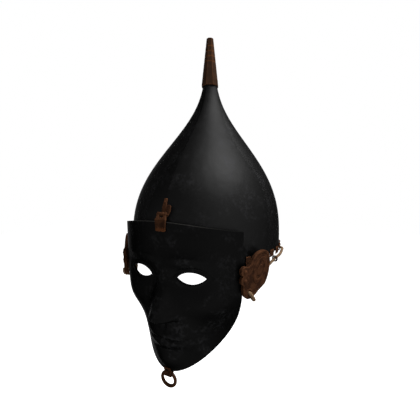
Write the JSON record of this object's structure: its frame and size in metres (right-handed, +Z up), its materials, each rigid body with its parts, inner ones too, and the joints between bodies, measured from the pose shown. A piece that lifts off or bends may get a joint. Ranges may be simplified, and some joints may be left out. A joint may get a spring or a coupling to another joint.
{
  "type": "kipchak helmet",
  "caption": "Tall ogee iron helmet with a lift-up face mask on a brow hinge, ear plates, a swinging chin ring, a laced rim and a padded lining.",
  "frame": {"origin": "on the spike's axis, in the plane of the rim, in the middle of the head opening", "axes": "+Z up along the spike, -Y the way the mask faces, +X the wearer's left"},
  "size_m": [0.2252, 0.2543, 0.4469],
  "materials": {
    "iron": "blackened, oiled, faintly mottled",
    "bronze": "dark brown patina, worn redder at the edges",
    "cord": "twisted tan cord",
    "leather": "dark brown, dull",
    "linen": "undyed linen, quilted"
  },
  "bodies": {
    "helmet": {"dome_shell": "iron", "finial": "bronze", "finial_core": "iron", "finial_pin": "bronze", "hinge_strap": "bronze", "strap_rivet": "bronze", "hinge_pin": "bronze", "vervelles_left": "bronze", "vervelles_right": "bronze", "vervelle_rear": "bronze", "vervelle_rivets": "bronze", "rim_lace": "cord", "lace_ring_left": "bronze", "lace_ring_right": "bronze", "liner_band": "leather", "liner_cap": "linen"},
    "mask": {"mask_shell": "iron", "mask_leaf": "bronze", "leaf_rivets": "bronze", "ear_left": "bronze", "ear_right": "bronze", "ear_pad_left": "bronze", "ear_pad_right": "bronze", "ear_rivets_left": "bronze", "ear_rivets_right": "bronze", "ear_thong_left": "cord", "ear_thong_right": "cord", "chin_tab": "bronze", "chin_rivet": "iron"},
    "chin_ring": {"chin_ring": "bronze"}
  },
  "joints": [
    {"name": "mask_lift", "type": "hinge", "parent": "helmet", "child": "mask", "pos_m": [0, -0.12514, 0.0552], "axis": [-1, 0, 0], "range_deg": [0, 105]},
    {"name": "chin_ring_swing", "type": "hinge", "parent": "mask", "child": "chin_ring", "pos_m": [0, -0.12094, -0.13927], "axis": [1, 0, 0], "range_deg": [-130, 130]}
  ]
}
